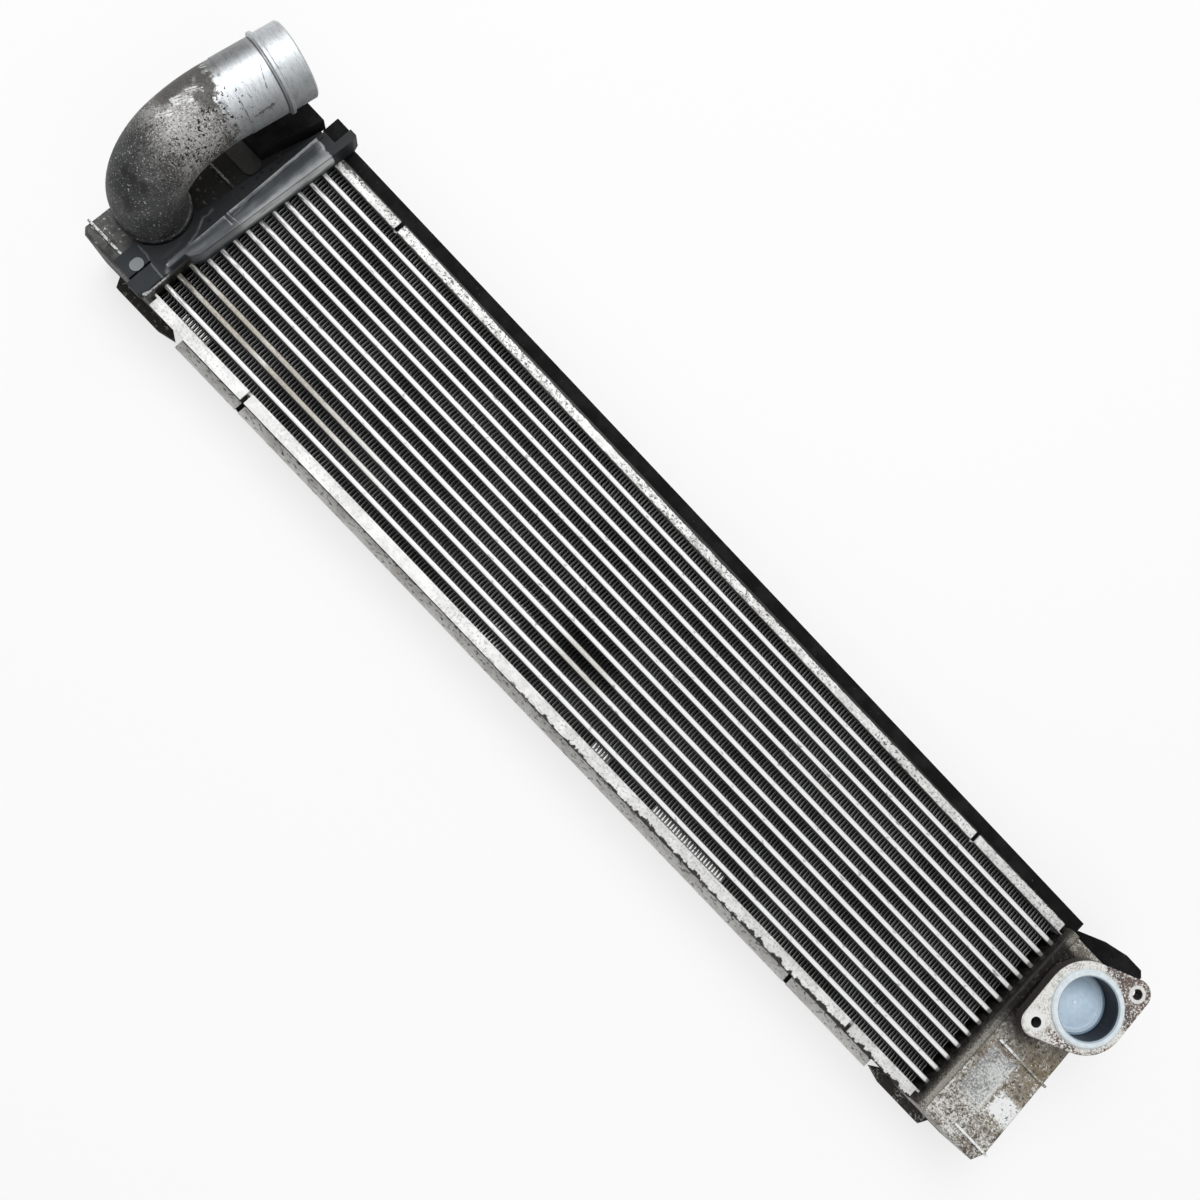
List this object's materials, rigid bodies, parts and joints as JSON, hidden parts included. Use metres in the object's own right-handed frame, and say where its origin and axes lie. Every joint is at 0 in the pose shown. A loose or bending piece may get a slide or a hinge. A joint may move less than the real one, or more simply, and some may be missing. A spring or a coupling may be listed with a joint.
{
  "type": "intercooler",
  "caption": "Charge-air intercooler: a flat tube-and-fin core between two cast end tanks, with a hose elbow at one end and a capped bolted port at the other.",
  "frame": {"origin": "middle of the bounding box's bottom, on the plane that the backs of the tanks lie on", "axes": "+X along the tubes, from the tank with the hose elbow to the tank with the bolted port; +Y across the tubes, towards the foam strip; +Z out of the core's front face"},
  "size_m": [0.948, 0.2036, 0.1466],
  "materials": {
    "tube_alloy": "dull brazed, white oxide, dusty",
    "fin_alloy": "dull, dark with dirt between bright edges",
    "side_alloy": "dull sheet, grey mottling",
    "cast_alloy": "rough casting with grime and white oxide, machined at the ends",
    "deflector_plastic": "slate grey moulding under pale dust",
    "foam": "black closed-cell foam",
    "plug_plastic": "pale blue translucent-looking moulding"
  },
  "bodies": {
    "root": {"tube_01": "tube_alloy", "turbulator_01": "fin_alloy", "tube_02": "tube_alloy", "turbulator_02": "fin_alloy", "tube_03": "tube_alloy", "turbulator_03": "fin_alloy", "tube_04": "tube_alloy", "turbulator_04": "fin_alloy", "tube_05": "tube_alloy", "turbulator_05": "fin_alloy", "tube_06": "tube_alloy", "turbulator_06": "fin_alloy", "tube_07": "tube_alloy", "turbulator_07": "fin_alloy", "tube_08": "tube_alloy", "turbulator_08": "fin_alloy", "tube_09": "tube_alloy", "turbulator_09": "fin_alloy", "tube_10": "tube_alloy", "turbulator_10": "fin_alloy", "tube_11": "tube_alloy", "turbulator_11": "fin_alloy", "tube_12": "tube_alloy", "turbulator_12": "fin_alloy", "tube_13": "tube_alloy", "turbulator_13": "fin_alloy", "fin_row_01": "fin_alloy", "fin_row_02": "fin_alloy", "fin_row_03": "fin_alloy", "fin_row_04": "fin_alloy", "fin_row_05": "fin_alloy", "fin_row_06": "fin_alloy", "fin_row_07": "fin_alloy", "fin_row_08": "fin_alloy", "fin_row_09": "fin_alloy", "fin_row_10": "fin_alloy", "fin_row_11": "fin_alloy", "fin_row_12": "fin_alloy", "fin_row_13": "fin_alloy", "fin_row_14": "fin_alloy", "header_plate_inlet": "side_alloy", "header_plate_outlet": "side_alloy", "side_plate_upper": "side_alloy", "side_plate_lower": "side_alloy", "inlet_tank": "cast_alloy", "outlet_tank": "cast_alloy", "port_plug": "plug_plastic", "air_deflector": "deflector_plastic", "foam_strip": "foam", "foam_block": "foam", "foam_wedge": "foam", "foam_pad": "foam"}
  },
  "joints": []
}
